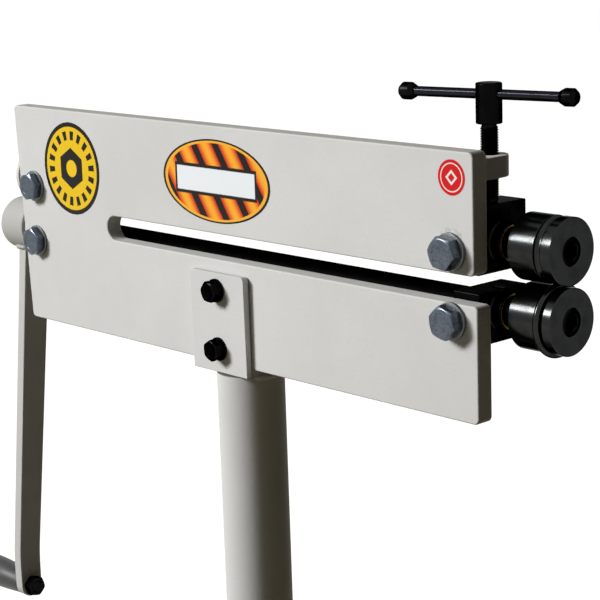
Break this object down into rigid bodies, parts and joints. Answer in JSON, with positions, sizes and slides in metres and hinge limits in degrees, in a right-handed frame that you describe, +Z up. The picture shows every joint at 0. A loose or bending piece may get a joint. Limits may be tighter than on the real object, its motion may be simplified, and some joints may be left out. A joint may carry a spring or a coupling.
{
  "type": "bead roller",
  "caption": "Hand-cranked bead roller: deep-throat steel frame plate on a floor pedestal, two geared roller shafts, tee-handled adjusting screw and a hanging crank arm.",
  "frame": {"origin": "on the floor, under the axis of the stand post, at the centre of the base plate's underside", "axes": "+Z up, +X along the throat towards the rollers, -Y out of the flat front face of the frame plate"},
  "size_m": [0.8848, 0.38, 1.1645],
  "materials": {
    "cream_paint": "semi-gloss powder coat",
    "black_steel": "oiled black oxide",
    "polished_steel": "fine turned and polished",
    "zinc_steel": "bright zinc plate",
    "bearing_bronze": "oiled sintered bronze",
    "grip_plastic": "satin moulded"
  },
  "bodies": {
    "frame": {"frame_plate": "cream_paint", "nut_lug": "cream_paint", "saddle_front_cheek": "cream_paint", "saddle_back_cheek": "cream_paint", "saddle_base_plate": "cream_paint", "stand_post": "cream_paint", "stand_base_plate": "cream_paint", "gusset_right": "cream_paint", "gusset_back": "cream_paint", "gusset_left": "cream_paint", "gusset_front": "cream_paint", "clamp_bolt_lower": "black_steel", "clamp_bolt_upper": "black_steel", "clamp_lock_washer_lower": "black_steel", "clamp_lock_washer_upper": "black_steel", "clamp_washer_lower": "black_steel", "clamp_washer_upper": "black_steel", "lower_front_block": "black_steel", "lower_rear_block": "black_steel", "lower_front_bush": "bearing_bronze", "lower_rear_bush": "bearing_bronze", "lower_front_bolt": "zinc_steel", "lower_rear_bolt": "zinc_steel", "lower_front_washer": "zinc_steel", "lower_rear_washer": "zinc_steel"},
    "rear_carrier": {"upper_rear_block": "black_steel", "upper_rear_bush": "bearing_bronze", "upper_rear_bolt": "zinc_steel", "upper_rear_washer": "zinc_steel"},
    "front_carrier": {"upper_front_block": "black_steel", "upper_front_bush": "bearing_bronze", "upper_front_bolt": "zinc_steel", "upper_front_washer": "zinc_steel", "screw_retaining_pin": "black_steel"},
    "adjuster": {"adjusting_screw": "black_steel", "tee_hub": "black_steel"},
    "tee_bar": {"tee_bar": "black_steel", "tee_knob_left": "black_steel", "tee_knob_right": "black_steel"},
    "upper_drive": {"upper_shaft": "black_steel", "upper_roller": "polished_steel", "upper_roller_key": "black_steel", "upper_roller_screw": "black_steel", "upper_gear": "cream_paint", "upper_gear_key": "black_steel", "upper_gear_set_screw": "black_steel"},
    "crank": {"lower_shaft": "black_steel", "lower_roller": "polished_steel", "lower_roller_key": "black_steel", "lower_roller_screw": "black_steel", "lower_gear": "cream_paint", "lower_gear_key": "black_steel", "lower_gear_set_screw": "black_steel", "crank_hub": "cream_paint", "crank_key": "black_steel", "crank_set_screw": "black_steel", "crank_arm": "cream_paint", "grip_spindle": "black_steel", "spindle_nut": "black_steel"},
    "grip": {"crank_grip": "grip_plastic"}
  },
  "joints": [
    {"name": "crank_turn", "type": "hinge", "parent": "frame", "child": "crank", "pos_m": [-0.28725, 0.023, 0.9885], "axis": [1, 0, 0], "continuous": true},
    {"name": "upper_tilt", "type": "hinge", "parent": "frame", "child": "rear_carrier", "pos_m": [-0.28725, 0.023, 1.04], "axis": [0, -1, 0], "range_deg": [-0.08, 0.65]},
    {"name": "upper_shaft_spin", "type": "hinge", "parent": "rear_carrier", "child": "upper_drive", "pos_m": [-0.28725, 0.023, 1.0425], "axis": [1, 0, 0], "continuous": true},
    {"name": "front_lift", "type": "slide", "parent": "frame", "child": "front_carrier", "axis": [0, 0, 1], "range_m": [-0.00067, 0.006]},
    {"name": "screw_turn", "type": "hinge", "parent": "front_carrier", "child": "adjuster", "pos_m": [0.26475, 0.023, 1.0728], "axis": [0, 0, 1], "range_deg": [-121, 1081]},
    {"name": "tee_bar_slide", "type": "slide", "parent": "adjuster", "child": "tee_bar", "axis": [0.9823, 0.1874, 0], "range_m": [-0.051, 0.055]},
    {"name": "grip_spin", "type": "hinge", "parent": "crank", "child": "grip", "pos_m": [-0.46, 0.023, 0.5825], "axis": [1, 0, 0], "continuous": true}
  ],
  "couplings": [
    {"joint": "upper_shaft_spin", "follows": "crank_turn", "ratio": -1},
    {"joint": "screw_turn", "follows": "front_lift", "rad_per_m": 3141.6},
    {"joint": "upper_tilt", "follows": "front_lift", "rad_per_m": 1.8116}
  ]
}
